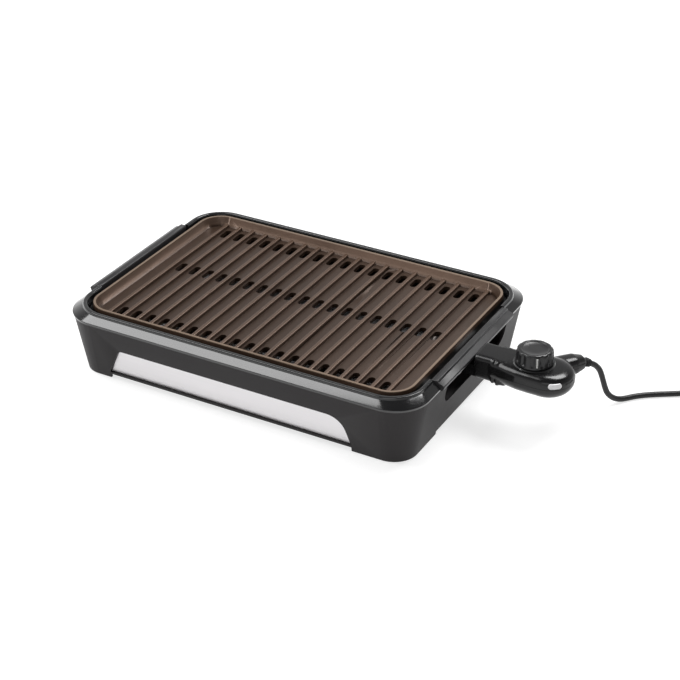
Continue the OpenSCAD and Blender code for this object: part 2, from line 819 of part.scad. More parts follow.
module indicator_lamp() {
    color("#e0723a") place() at_lens() translate([control_r - case_wall - 4.2, 0, 0])
        rotate([90, 0, 0]) {
            translate([0, 0, -4]) cylinder(d = 5, h = 8);
            for (s = [-1, 1]) translate([0, 0, 4 * s]) sphere(d = 5);
        }
}

// Block that grips the cord inside the case
module cord_clamp() {
    color("#26262a") place() translate([knob_x, 0, parting_z]) rotate([0, 0, exit_angle])
        translate([22, -7, -6]) cube([9, 14, 12]);
}

module control_knob() {
    knob_z = case_top + 1.8;
    flutes = 12;
    color("#232325") place() translate([knob_x, 0, knob_z]) difference() {
        union() {
            cylinder(d1 = knob_d, d2 = knob_d - 1.6, h = knob_h - 2);
            translate([0, 0, knob_h - 2]) cylinder(d1 = knob_d - 1.6, d2 = knob_d - 6, h = 2);
        }
        for (i = [0:flutes - 1]) rotate([0, 0, 360 / flutes * (i + 0.5) + pointer_angle])
            translate([knob_d / 2 + 1.6, 0, 3]) cylinder(d = 7, h = knob_h);
        translate([0, 0, knob_h - 1]) cylinder(d1 = knob_d - 14, d2 = knob_d - 12, h = 2);
        translate([0, 0, -1]) cylinder(d = shaft_d + 2 * run_gap, h = knob_h - 5);
        rotate([0, 0, pointer_angle]) translate([knob_d / 2 - 3, -1.6, 3])
            cube([6, 3.2, knob_h]);
    }
}

module knob_pointer() {
    color("#e9e9e6") place() translate([knob_x, 0, case_top + 1.8]) rotate([0, 0, pointer_angle])
        translate([knob_d / 2 - 3, -1.5, 3]) cube([2.2, 3, knob_h - 5.4]);
}

module knob_shaft() {
    color("#b4b6b9") place() translate([knob_x, 0, parting_z + 1])
        cylinder(d = shaft_d, h = case_top - parting_z + knob_h - 5.5);
}

// Ribbed rubber sleeve that eases the cord out of the spout and droops with it
module strain_relief() {
    length = 11;
    bore = cord_d + 0.4;
    color("#1a1a1c") place() translate([knob_x, 0, parting_z]) rotate([0, 0, exit_angle])
        translate([spout_end, 0, 0]) difference() {
            union() {
                translate([-10, 0, 0]) rotate([0, 90, 0]) cylinder(d = 11, h = 10);
                sphere(d = 11);
                rotate([0, 90 + exit_droop, 0]) {
                    cylinder(d1 = 10.4, d2 = cord_d + 1.2, h = length);
                    for (i = [0:2]) translate([0, 0, 3.2 + 2.7 * i])
                        cylinder(d1 = 12.4 - 0.7 * i, d2 = 11.8 - 0.7 * i, h = 1.5);
                }
            }
            translate([-11, 0, 0]) rotate([0, 90, 0]) cylinder(d = bore, h = 11);
            sphere(d = bore);
            rotate([0, 90 + exit_droop, 0]) cylinder(d = cord_d, h = length + 1);
        }
}

// Sweeps a tube of the cord's own thickness along a route
function tangent(route, i) = unit(route[min(i + 1, len(route) - 1)] - route[max(i - 1, 0)]);
function ring_at(route, i) =
    let (t = tangent(route, i))
    let (side = abs(t[2]) > 0.97 ? unit([1, -1, 0]) : unit(cross(t, [0, 0, 1])))
    let (across = unit(side - t * (side * t)), up = cross(across, t))
    [for (k = [0:cord_sides - 1])
        let (a = 360 / cord_sides * (k + 0.5))
        route[i] + cord_r * (across * cos(a) + up * sin(a))];

module cord_tube(route) {
    rings = len(route);
    points = [for (i = [0:rings - 1]) each ring_at(route, i)];
    sides = [for (i = [0:rings - 2], k = [0:cord_sides - 1])
        let (a = i * cord_sides, next = (k + 1) % cord_sides)
        [a + k, a + next, a + next + cord_sides, a + k + cord_sides]];
    start = [for (k = [cord_sides - 1:-1:0]) k];
    finish = [for (k = [0:cord_sides - 1]) (rings - 1) * cord_sides + k];
    polyhedron(points, concat(sides, [start, finish]));
}

module cord_lead() {
    color("#1c1c1e") cord_tube(lead_route);
}

module cord_tail() {
    color("#1c1c1e") cord_tube(tail_route);
}

// Outer shape of the wound cord: two turns beside each other, two deep
module cord_coil() {
    color("#1c1c1e") translate([coil_x, coil_y, 0]) rotate_extrude()
        translate([coil_mid - cord_d, 0]) square([2 * cord_d, 2 * cord_d]);
}

module cord_tie() {
    color("#141416") translate([coil_x, coil_y - coil_mid, 0]) difference() {
        translate([-5, -cord_d - 1.4, 0]) cube([10, 2 * cord_d + 2.8, 2 * cord_d + 1]);
        translate([-6, -cord_d - 0.7, -1]) cube([12, 2 * cord_d + 1.4, 2 * cord_d + 1]);
    }
}

// Two-pin mains plug lying on the table, its pins towards -Y
module plug_body() {
    color("#18181a") translate([tail_x, tail_end, plug_r]) rotate([90, 0, 0]) difference() {
        union() {
            cylinder(d1 = 10.4, d2 = 15, h = 22);
            translate([0, 0, 20]) cylinder(r1 = 11, r2 = plug_r - 1.5, h = 16);
            translate([0, 0, 36]) cylinder(r = plug_r, h = 20);
        }
        for (s = [-1, 1]) translate([s * 9.5, 0, 40]) cylinder(d = 4.8 + 2 * run_gap, h = 20);
    }
}

module plug_pins() {
    color("#c8cacd") translate([tail_x, tail_end, plug_r]) rotate([90, 0, 0])
        for (s = [-1, 1]) translate([s * 9.5, 0, 40.2]) {
            cylinder(d = 4.8, h = 33);
            translate([0, 0, 33]) cylinder(d1 = 4.8, d2 = 3.2, h = 1.2);
        }
}

base_shell();
front_bezel();
rear_bezel();
bezel_screws();
front_panel();
panel_clips();
rubber_feet();
drip_tray();
cooking_plate();
handle_left();
handle_right();
handle_screws();
heating_element();
element_clamps();
clamp_screws();
terminal_block();
terminal_pins();
socket_shroud();
shroud_screws();
control_top_case();
control_bottom_case();
control_nose();
contact_sleeves();
sensor_probe();
thermostat();
case_screws();
dial_ring();
indicator_lens();
indicator_lamp();
cord_clamp();
control_knob();
knob_pointer();
knob_shaft();
strain_relief();
cord_lead();
cord_coil();
cord_tie();
cord_tail();
plug_body();
plug_pins();
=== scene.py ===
import math
import bmesh
import bpy
from mathutils import Matrix, Vector


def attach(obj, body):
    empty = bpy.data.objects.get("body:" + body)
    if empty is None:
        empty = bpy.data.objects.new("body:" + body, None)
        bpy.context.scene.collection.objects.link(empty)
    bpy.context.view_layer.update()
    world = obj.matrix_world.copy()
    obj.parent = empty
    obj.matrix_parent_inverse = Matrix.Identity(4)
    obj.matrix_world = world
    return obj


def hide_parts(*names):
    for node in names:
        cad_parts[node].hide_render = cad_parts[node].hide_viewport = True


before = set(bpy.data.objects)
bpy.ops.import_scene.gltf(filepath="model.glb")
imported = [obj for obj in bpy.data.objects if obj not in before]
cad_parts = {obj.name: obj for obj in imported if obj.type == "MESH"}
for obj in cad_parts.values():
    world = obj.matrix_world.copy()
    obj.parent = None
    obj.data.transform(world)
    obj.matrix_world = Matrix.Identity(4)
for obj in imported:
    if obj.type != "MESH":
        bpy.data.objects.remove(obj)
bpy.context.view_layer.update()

mm = 0.001
shiftX = 58.5  # the row's origin lies this far right of the plate's centre, in mm
rimHalf = (240, 168)  # half the rim's width and depth, in mm
print("frame loaded")

cameraView = {
    "azimuth": 28.9202, "elevation": 30.2952, "distance": 2.2058, "lens": 92.048,
    "target": (-0.03594, 0.06245, 0.0),
}


def placeCamera(view):
    az, el = math.radians(view["azimuth"]), math.radians(view["elevation"])
    back = Vector((math.sin(az) * math.cos(el), -math.cos(az) * math.cos(el), math.sin(el)))
    right = Vector((math.cos(az), math.sin(az), 0))
    data = bpy.data.cameras.new("grillCamera")
    data.lens = view["lens"]
    data.sensor_width = 36
    data.clip_end = 30
    camera = bpy.data.objects.new("grillCamera", data)
    bpy.context.scene.collection.objects.link(camera)
    turn = Matrix((right, back.cross(right), back)).transposed().to_4x4()
    turn.translation = Vector(view["target"]) + back * view["distance"]
    camera.matrix_world = turn
    bpy.context.scene.camera = camera


placeCamera(cameraView)


# Finishes: each is a node tree on Object coordinates, whose scales are per metre

def startMaterial(name):
    material = bpy.data.materials.new(name)
    material.use_nodes = True
    tree = material.node_tree
    return material, tree, tree.nodes["Principled BSDF"]


def objectPoint(tree, stretch=(1, 1, 1), turn=(0, 0, 0)):
    where = tree.nodes.new("ShaderNodeTexCoord")
    mapping = tree.nodes.new("ShaderNodeMapping")
    mapping.inputs["Scale"].default_value = stretch
    mapping.inputs["Rotation"].default_value = [math.radians(a) for a in turn]
    tree.links.new(where.outputs["Object"], mapping.inputs["Vector"])
    return mapping.outputs["Vector"]


def noiseAt(tree, point, scale, detail=3.0, rough=0.55):
    noise = tree.nodes.new("ShaderNodeTexNoise")
    noise.inputs["Scale"].default_value = scale
    noise.inputs["Detail"].default_value = detail
    noise.inputs["Roughness"].default_value = rough
    tree.links.new(point, noise.inputs["Vector"])
    return noise.outputs["Fac"]


def spreadTo(tree, value, low, high, fromLow=0.3, fromHigh=0.7):
    ranged = tree.nodes.new("ShaderNodeMapRange")
    for socket, number in zip(("From Min", "From Max", "To Min", "To Max"), (fromLow, fromHigh, low, high)):
        ranged.inputs[socket].default_value = number
    tree.links.new(value, ranged.inputs["Value"])
    return ranged.outputs["Result"]


def tintBy(tree, value, dark, light):
    mix = tree.nodes.new("ShaderNodeMix")
    mix.data_type = "RGBA"
    mix.inputs["A"].default_value = (*dark, 1)
    mix.inputs["B"].default_value = (*light, 1)
    tree.links.new(value, mix.inputs["Factor"])
    return mix.outputs["Result"]


def mixTo(tree, value, base, over):
    mix = tree.nodes.new("ShaderNodeMix")
    mix.data_type = "RGBA"
    mix.inputs["B"].default_value = (*over, 1)
    tree.links.new(value, mix.inputs["Factor"])
    tree.links.new(base, mix.inputs["A"])
    return mix.outputs["Result"]


def bumpFrom(tree, height, strength, distance, under=None):
    bump = tree.nodes.new("ShaderNodeBump")
    bump.inputs["Strength"].default_value = strength
    bump.inputs["Distance"].default_value = distance
    tree.links.new(height, bump.inputs["Height"])
    if under:
        tree.links.new(under, bump.inputs["Normal"])
    return bump.outputs["Normal"]


def around(colour, spread):
    return [max(0.0, c * (1 - spread)) for c in colour], [min(1.0, c * (1 + spread)) for c in colour]


# Moulded plastic: spark-eroded grain, slow unevenness of the wall and faint handling marks
def mouldedPlastic(name, look):
    material, tree, shader = startMaterial(name)
    point = objectPoint(tree)
    slow = noiseAt(tree, point, look.get("patch", 9), 4)
    grain = noiseAt(tree, point, look.get("grain", 1600), 2, 0.6)
    wave = noiseAt(tree, point, look.get("wave", 28), 2)
    dark, light = around(look["colour"], look.get("spread", 0.12))
    tree.links.new(tintBy(tree, spreadTo(tree, slow, 0, 1), dark, light), shader.inputs["Base Color"])
    rough = look["rough"]
    spread = look.get("roughSpread", 0.05)
    tree.links.new(spreadTo(tree, slow, rough - spread, rough + spread), shader.inputs["Roughness"])
    normal = bumpFrom(tree, wave, look.get("waveBump", 0.06), 0.002)
    normal = bumpFrom(tree, grain, look.get("grainBump", 0.16), 0.0002, normal)
    tree.links.new(normal, shader.inputs["Normal"])
    shader.inputs["Specular IOR Level"].default_value = look.get("specular", 0.5)
    shader.inputs["Coat Weight"].default_value = look.get("coat", 0.0)
    shader.inputs["Coat Roughness"].default_value = look.get("coatRough", 0.1)
    return material


# Brushed or drawn metal: long fine lines along one axis
def drawnMetal(name, look):
    material, tree, shader = startMaterial(name)
    lines = noiseAt(tree, objectPoint(tree, look["stretch"]), look.get("lines", 1), 6, 0.65)
    slow = noiseAt(tree, objectPoint(tree), look.get("patch", 14), 3)
    dark, light = around(look["colour"], look.get("spread", 0.06))
    colour = tintBy(tree, spreadTo(tree, lines, 0, 1, 0.25, 0.75), dark, light)
    if "tarnish" in look:
        stained = spreadTo(tree, slow, 0, look.get("tarnishMost", 0.6), 0.45, 0.75)
        colour = mixTo(tree, stained, colour, look["tarnish"])
    tree.links.new(colour, shader.inputs["Base Color"])
    rough = look["rough"]
    tree.links.new(spreadTo(tree, lines, rough - 0.08, rough + 0.1, 0.2, 0.8), shader.inputs["Roughness"])
    tree.links.new(bumpFrom(tree, lines, look.get("bump", 0.12), 0.0002), shader.inputs["Normal"])
    shader.inputs["Metallic"].default_value = 1.0
    shader.inputs["Anisotropic"].default_value = look.get("anisotropic", 0.4)
    return material


# 1 where value lies between low and high, eased over soft at both ends
def bandOf(tree, value, low, high, soft):
    rise = spreadTo(tree, value, 0, 1, low, low + soft)
    fall = spreadTo(tree, value, 1, 0, high - soft, high)
    return combine(tree, "MULTIPLY", rise, fall)


def combine(tree, operation, *values):
    node = tree.nodes.new("ShaderNodeMath")
    node.operation = operation
    for slot, value in enumerate(values):
        if isinstance(value, (int, float)):
            node.inputs[slot].default_value = value
        else:
            tree.links.new(value, node.inputs[slot])
    return node.outputs["Value"]


# Height of the point and how far it lies outside the plate's inner rectangle
def plateRegions(tree, half):
    point = objectPoint(tree)
    for operation, other in (("ADD", (shiftX * mm, 0, 0)), ("ABSOLUTE", None), ("SUBTRACT", (*half, 0)),
                             ("MAXIMUM", (0, 0, 0)), ("MULTIPLY", (1, 1, 0))):
        step = tree.nodes.new("ShaderNodeVectorMath")
        step.operation = operation
        tree.links.new(point, step.inputs[0])
        if other:
            step.inputs[1].default_value = other
        point = step.outputs["Vector"]
    length = tree.nodes.new("ShaderNodeVectorMath")
    length.operation = "LENGTH"
    tree.links.new(point, length.inputs[0])
    parts = tree.nodes.new("ShaderNodeSeparateXYZ")
    tree.links.new(objectPoint(tree), parts.inputs["Vector"])
    return length.outputs["Value"], parts.outputs["Z"]


# Cast plate under a non-stick coat: orange-peel skin and fine fleck; a painted highlight on the rib tops and
# the rim's top edge, painted shade darkening the channel floors and all below them, and painted shade turning
# the outer wall under the rim near black
def coatedCasting(name, look):
    material, tree, shader = startMaterial(name)
    point = objectPoint(tree)
    slow = noiseAt(tree, point, 7, 4)
    peel = noiseAt(tree, point, 420, 3, 0.6)
    fleck = noiseAt(tree, point, 2600, 1, 0.5)
    away, height = plateRegions(tree, look["half"])
    dark, light = around(look["colour"], 0.16)
    colour = tintBy(tree, spreadTo(tree, slow, 0, 1), dark, light)
    colour = mixTo(tree, spreadTo(tree, fleck, 0, 0.5, 0.6, 0.74), colour, look["fleck"])
    # painted shade: darker at and below the channel floors, fading out up the ribs' sides
    channelShade = spreadTo(tree, height, look["channelShadeMost"], 0, *look["channelShadeHeights"])
    colour = mixTo(tree, channelShade, colour, look["deep"])
    # painted highlight: a lighter band at the height of the rib tops
    ribs = bandOf(tree, height, *look["ribHighlightBand"])
    colour = mixTo(tree, combine(tree, "MULTIPLY", ribs, look["ribHighlightMost"]), colour, look["rib"])
    # painted shade: near black on the plate's outer wall under the rim, outside the inner rectangle and below
    # the rim's top
    skirtShade = combine(tree, "MULTIPLY", spreadTo(tree, away, 0, 1, *look["skirtShadeAway"]),
                    spreadTo(tree, height, 1, 0, *look["skirtShadeHeights"]))
    colour = mixTo(tree, skirtShade, colour, look["skirtShade"])
    # painted highlight: a light line along the rim's top edge
    rimHighlight = combine(tree, "MULTIPLY", bandOf(tree, away, *look["rimHighlightBand"]),
                   spreadTo(tree, height, 0, 1, *look["rimHighlightHeights"]))
    colour = mixTo(tree, combine(tree, "MULTIPLY", rimHighlight, look["rimHighlightMost"]), colour, look["rimHighlight"])
    tree.links.new(colour, shader.inputs["Base Color"])
    rough = look["rough"]
    tree.links.new(spreadTo(tree, slow, rough - 0.06, rough + 0.07), shader.inputs["Roughness"])
    normal = bumpFrom(tree, peel, 0.22, 0.0006)
    tree.links.new(bumpFrom(tree, fleck, 0.1, 0.0002, normal), shader.inputs["Normal"])
    shader.inputs["Metallic"].default_value = look.get("metal", 0.35)
    shader.inputs["Coat Weight"].default_value = look.get("coat", 0.25)
    shader.inputs["Coat Roughness"].default_value = 0.3
    return material


# Unglazed ceramic: pale, gritty and a little stained
def firedCeramic(name, look):
    material, tree, shader = startMaterial(name)
    point = objectPoint(tree)
    stain = noiseAt(tree, point, 60, 5)
    grit = noiseAt(tree, point, 1800, 3)
    dark, light = around(look["colour"], 0.1)
    tree.links.new(tintBy(tree, spreadTo(tree, stain, 0, 1), dark, light), shader.inputs["Base Color"])
    tree.links.new(spreadTo(tree, grit, 0.62, 0.85), shader.inputs["Roughness"])
    tree.links.new(bumpFrom(tree, grit, 0.3, 0.0003), shader.inputs["Normal"])
    return material


# Milky window: smooth face over a faint inner diffuser
def milkyWindow(name, look):
    material, tree, shader = startMaterial(name)
    cells = tree.nodes.new("ShaderNodeTexVoronoi")
    cells.inputs["Scale"].default_value = 900
    tree.links.new(objectPoint(tree), cells.inputs["Vector"])
    dark, light = around(look["colour"], 0.05)
    tree.links.new(tintBy(tree, cells.outputs["Distance"], light, dark), shader.inputs["Base Color"])
    tree.links.new(spreadTo(tree, cells.outputs["Distance"], 0.1, 0.2), shader.inputs["Roughness"])
    tree.links.new(bumpFrom(tree, cells.outputs["Distance"], 0.05, 0.0002), shader.inputs["Normal"])
    shader.inputs["Subsurface Weight"].default_value = 0.3
    shader.inputs["Subsurface Radius"].default_value = (0.002, 0.002, 0.002)
    shader.inputs["Coat Weight"].default_value = 0.5
    shader.inputs["Emission Color"].default_value = (*look["colour"], 1)
    shader.inputs["Emission Strength"].default_value = look.get("glow", 0.0)
    return material


# Glow lamp: tinted glass with a hazy inside
def lampGlass(name, look):
    material, tree, shader = startMaterial(name)
    haze = noiseAt(tree, objectPoint(tree), 900, 2)
    dark, light = around(look["colour"], 0.15)
    tree.links.new(tintBy(tree, haze, dark, light), shader.inputs["Base Color"])
    tree.links.new(spreadTo(tree, haze, 0.05, 0.2), shader.inputs["Roughness"])
    tree.links.new(bumpFrom(tree, haze, 0.05, 0.0002), shader.inputs["Normal"])
    shader.inputs["Transmission Weight"].default_value = 0.5
    return material


finishes = {
    "baseCharcoal": mouldedPlastic("baseCharcoal", {
        "colour": (0.0145, 0.0123, 0.0131), "rough": 0.5, "specular": 0.28, "grainBump": 0.12, "patch": 7}),
    "bezelBlack": mouldedPlastic("bezelBlack", {
        "colour": (0.009, 0.009, 0.0095), "rough": 0.13, "roughSpread": 0.03, "grain": 900,
        "grainBump": 0.003, "wave": 40, "waveBump": 0.02, "coat": 0.4, "coatRough": 0.05}),
    "barCharcoal": mouldedPlastic("barCharcoal", {
        "colour": (0.018, 0.0175, 0.0185), "rough": 0.36, "specular": 0.4, "grainBump": 0.08}),
    "controlBlack": mouldedPlastic("controlBlack", {
        "colour": (0.008, 0.0078, 0.0082), "rough": 0.2, "specular": 0.35, "grainBump": 0.03, "wave": 60,
        "waveBump": 0.03}),
    "ringGloss": mouldedPlastic("ringGloss", {
        "colour": (0.012, 0.012, 0.0125), "rough": 0.16, "coat": 0.5, "grainBump": 0.003, "waveBump": 0.02}),
    "knobBlack": mouldedPlastic("knobBlack", {
        "colour": (0.013, 0.0128, 0.0135), "rough": 0.3, "specular": 0.4, "grainBump": 0.06}),
    "cordBlack": mouldedPlastic("cordBlack", {
        "colour": (0.012, 0.012, 0.0125), "rough": 0.42, "specular": 0.35, "grain": 700,
        "grainBump": 0.15, "wave": 90}),
    "plugBlack": mouldedPlastic("plugBlack", {
        "colour": (0.015, 0.015, 0.0155), "rough": 0.36, "grainBump": 0.12}),
    "footRubber": mouldedPlastic("footRubber", {
        "colour": (0.018, 0.018, 0.018), "rough": 0.72, "grain": 500, "grainBump": 0.3}),
    "pointerWhite": mouldedPlastic("pointerWhite", {
        "colour": (0.62, 0.62, 0.60), "rough": 0.35, "spread": 0.04, "grainBump": 0.05}),
    "panelSilver": drawnMetal("panelSilver", {
        "colour": (0.76, 0.745, 0.755), "rough": 0.5, "stretch": (6, 1500, 1500), "bump": 0.06,
        "spread": 0.04}),
    "traySheet": drawnMetal("traySheet", {
        "colour": (0.60, 0.60, 0.61), "rough": 0.36, "stretch": (10, 900, 900),
        "tarnish": (0.30, 0.24, 0.18), "tarnishMost": 0.35}),
    "plainSteel": drawnMetal("plainSteel", {
        "colour": (0.56, 0.56, 0.57), "rough": 0.34, "stretch": (30, 900, 900),
        "tarnish": (0.32, 0.30, 0.28), "tarnishMost": 0.3}),
    "heaterTube": drawnMetal("heaterTube", {
        "colour": (0.17, 0.16, 0.155), "rough": 0.5, "stretch": (60, 60, 600),
        "tarnish": (0.09, 0.055, 0.035), "tarnishMost": 0.8, "anisotropic": 0.1}),
    "contactBrass": drawnMetal("contactBrass", {
        "colour": (0.62, 0.46, 0.20), "rough": 0.28, "stretch": (60, 700, 700),
        "tarnish": (0.35, 0.22, 0.10), "tarnishMost": 0.3}),
    "plateBronze": coatedCasting("plateBronze", {
        "colour": (0.076, 0.044, 0.028), "fleck": (0.13, 0.085, 0.06), "rough": 0.38, "metal": 0.5,
        "coat": 0.08, "half": (0.187, 0.115),
        # painted shade in the channels, darkest at their floors
        "deep": (0.030, 0.018, 0.012), "channelShadeMost": 0.6, "channelShadeHeights": (0.0762, 0.079),
        # painted highlight on the rib tops
        "rib": (0.105, 0.065, 0.044), "ribHighlightMost": 0.6, "ribHighlightBand": (0.0787, 0.0812, 0.0005),
        # painted shade, near black, on the plate's outer wall under the rim
        "skirtShade": (0.006, 0.006, 0.006), "skirtShadeAway": (0.0304, 0.0308), "skirtShadeHeights": (0.0825, 0.0835),
        # painted highlight along the rim's top edge
        "rimHighlight": (0.24, 0.175, 0.125), "rimHighlightMost": 0.75, "rimHighlightBand": (0.0272, 0.0312, 0.0006),
        "rimHighlightHeights": (0.0869, 0.0874)}),
    "whiteCeramic": firedCeramic("whiteCeramic", {"colour": (0.72, 0.68, 0.60)}),
    "milkWindow": milkyWindow("milkWindow", {"colour": (0.86, 0.85, 0.86)}),
    "orangeLamp": lampGlass("orangeLamp", {"colour": (0.85, 0.30, 0.10)}),
}
print("finishes made:", len(finishes))


# Mesh helpers: shapes are drawn in mm from the plate's centre and moved to the row's frame

def toRow(point):
    return ((point[0] - shiftX) * mm, point[1] * mm, point[2] * mm)


def settleMesh(mesh, material, smoothAngle=35):
    mesh.materials.clear()
    mesh.materials.append(finishes[material])
    for face in mesh.polygons:
        face.use_smooth = True
    mesh.set_sharp_from_angle(angle=math.radians(smoothAngle))


def addPiece(name, mesh, material, body, stands=(), smoothAngle=35):
    settleMesh(mesh, material, smoothAngle)
    piece = bpy.data.objects.new(name, mesh)
    bpy.context.scene.collection.objects.link(piece)
    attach(piece, body)
    if stands:
        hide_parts(*stands)
    return piece


def meshFrom(name, verts, faces):
    mesh = bpy.data.meshes.new(name)
    mesh.from_pydata([toRow(v) for v in verts], [], faces)
    work = bmesh.new()
    work.from_mesh(mesh)
    bmesh.ops.remove_doubles(work, verts=work.verts, dist=1e-6)
    bmesh.ops.recalc_face_normals(work, faces=work.faces)
    work.to_mesh(mesh)
    work.free()
    return mesh


# A merged copy of a CAD node with its edges broken, as a moulding's are; reshape may move its points first,
# and share gives an edge its part of the width
def softenedNode(node, name, material, body, width, segments=2, angle=30, reshape=None, share=None):
    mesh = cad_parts[node].data.copy()
    mesh.name = name
    work = bmesh.new()
    work.from_mesh(mesh)
    bmesh.ops.remove_doubles(work, verts=work.verts, dist=2e-6)
    if reshape:
        reshape(work)
    bmesh.ops.dissolve_limit(work, angle_limit=math.radians(0.6), verts=work.verts, edges=work.edges)
    weights = work.edges.layers.float.new("bevel_weight_edge")
    for edge in work.edges:
        if len(edge.link_faces) == 2 and edge.calc_face_angle(0) > math.radians(angle):
            edge[weights] = share(edge) if share else 1.0
    work.to_mesh(mesh)
    work.free()
    piece = addPiece(name, mesh, material, body, [node], smoothAngle=angle)
    bevel = piece.modifiers.new("brokenEdges", "BEVEL")
    bevel.width = width * mm
    bevel.segments = segments
    bevel.limit_method = "WEIGHT"
    bevel.harden_normals = True


# How far a point of the row's frame lies inside the rim's edge, in mm, for corners of the given radius
def insetOf(point, corner):
    x, y = abs(point[0] / mm + shiftX) - rimHalf[0] + corner, abs(point[1] / mm) - rimHalf[1] + corner
    return corner - math.hypot(max(x, 0), max(y, 0))


# Corners [x, y, radius] of a section, rounded with steps points each
def roundedSection(corners, steps=5):
    points = []
    count = len(corners)
    for i, (x, y, radius) in enumerate(corners):
        here = Vector((x, y))
        u = (Vector(corners[i - 1][:2]) - here).normalized()
        v = (Vector(corners[(i + 1) % count][:2]) - here).normalized()
        half = math.acos(max(-1, min(1, u.dot(v)))) / 2
        if radius == 0 or half > 1.55:
            points.append((x, y))
            continue
        centre = here + (u + v).normalized() * radius / math.sin(half)
        a, b = here + u * radius / math.tan(half) - centre, here + v * radius / math.tan(half) - centre
        for k in range(steps + 1):
            arm = (a * (steps - k) + b * k).normalized() * radius
            points.append((centre.x + arm.x, centre.y + arm.y))
    return points


# Skins rows of points, each a closed loop, into quads and closes the first and last row
def skin(rows):
    count = len(rows[0])
    verts = [p for row in rows for p in row]
    faces = []
    for i in range(len(rows) - 1):
        a, b = i * count, (i + 1) * count
        for k in range(count):
            n = (k + 1) % count
            faces.append((a + k, a + n, b + n, b + k))
    faces.append(tuple(range(count - 1, -1, -1)))
    faces.append(tuple(range((len(rows) - 1) * count, len(rows) * count)))
    return verts, faces


# Mains cord, its points in mm of the row's frame

mainsCord = {
    "radius": 3.5, "exit": (299.7, 59.1, 65.4), "length": 1.07,
    "lead": [
        (299.7, 59.1, 65.4), (302.9, 63.3, 62.2), (305.8, 66.9, 58), (308, 69.8, 53), (309.6, 71.9, 47.3),
        (312.1, 75, 35.8), (314.5, 78.1, 24.4), (316.2, 80.2, 18.6), (318.5, 83.2, 13.5), (321.5, 87, 9.3),
        (324.9, 91.4, 6.1), (328.6, 96.2, 4.2), (332.5, 101.2, 3.5), (340.3, 110.1, 3.5), (349, 118.1, 3.5),
        (358.5, 125.2, 3.5), (377.5, 137.7, 3.5), (396.4, 150.3, 3.5), (411, 160, 3.5)],
    "coilCentre": (450, 136), "startAngle": 123.5, "sweep": 1203.5, "perTurn": 16,
    "radii": (41.5, 34.45), "heights": (3.5, 10.5),
    "stepIn": (225, 345), "stepUp": (555, 625), "stepOut": (820, 940),
    "tail": [
        (491.5, 128, 10.5), (491.5, 121, 10.5), (491.5, 114, 11.2), (491.5, 107, 13.1),
        (491.5, 100, 15.7), (491.5, 93, 18), (491.5, 86, 19), (491.5, 80, 19)],
}


def eased(value, low, high):
    t = max(0.0, min(1.0, (value - low) / (high - low)))
    return t * t * (3 - 2 * t)


def cordRoute(cord):
    points = list(cord["lead"])
    outer, inner = cord["radii"]
    low, high = cord["heights"]
    steps = round(cord["sweep"] / 360 * cord["perTurn"])
    for k in range(steps + 1):
        along = cord["sweep"] * k / steps
        radius = outer + (inner - outer) * (eased(along, *cord["stepIn"]) - eased(along, *cord["stepOut"]))
        height = low + (high - low) * eased(along, *cord["stepUp"])
        angle = math.radians(cord["startAngle"] - along)
        points.append((cord["coilCentre"][0] + radius * math.cos(angle),
                       cord["coilCentre"][1] + radius * math.sin(angle), height))
    return points + cord["tail"]


def makeCord(cord):
    curve = bpy.data.curves.new("mainsCord", "CURVE")
    curve.dimensions = "3D"
    curve.bevel_depth = cord["radius"] * mm
    curve.bevel_resolution = 5
    curve.resolution_u = 8
    curve.use_fill_caps = True
    spline = curve.splines.new("BEZIER")
    points = cordRoute(cord)
    spline.bezier_points.add(len(points) - 1)
    for spot, point in zip(spline.bezier_points, points):
        spot.co = [c * mm for c in point]
        spot.handle_left_type = spot.handle_right_type = "AUTO"
    curve.materials.append(finishes["cordBlack"])
    piece = bpy.data.objects.new("mainsCord", curve)
    bpy.context.scene.collection.objects.link(piece)
    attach(piece, "control")
    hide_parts("cord_lead", "cord_coil", "cord_tail")
    return piece


cordPiece = makeCord(mainsCord)
print("cord laid")

# Rubber boot that eases the cord out of the spout and droops past its face

cordBoot = {
    "knobX": 312, "height": 70, "angle": 52, "spoutEnd": 65, "inside": 10, "droop": 25, "outside": 11,
    "body": 5.5, "thick": 5.1, "thin": 4.05, "ribs": 3, "ribFirst": 3.9, "ribPitch": 2.7, "ribOut": 1.05,
    "bendFrom": -1.5, "bendTo": 2.5, "start": -1.2, "steps": 56, "ribFade": 0.14, "tip": 3.3,
}


def bootRing(boot, t, radius, count=36):
    # t runs from the inside end through 0 at the spout's face to the outer end, where the boot droops
    out = Vector((math.cos(math.radians(boot["angle"])), math.sin(math.radians(boot["angle"])), 0))
    side = Vector((-out.y, out.x, 0))
    bend = math.radians(boot["droop"]) * eased(t, boot["bendFrom"], boot["bendTo"])
    along = out * math.cos(bend) - Vector((0, 0, math.sin(bend)))
    droop = math.radians(boot["droop"])
    centre = out * (boot["spoutEnd"] + (t if t < 0 else t * math.cos(droop)))
    centre += Vector((boot["knobX"], 0, boot["height"] - (0 if t < 0 else t * math.sin(droop))))
    up = side.cross(along) * -1
    return [tuple(centre + (side * math.cos(a) + up * math.sin(a)) * radius)
            for a in (2 * math.pi * k / count for k in range(count))]


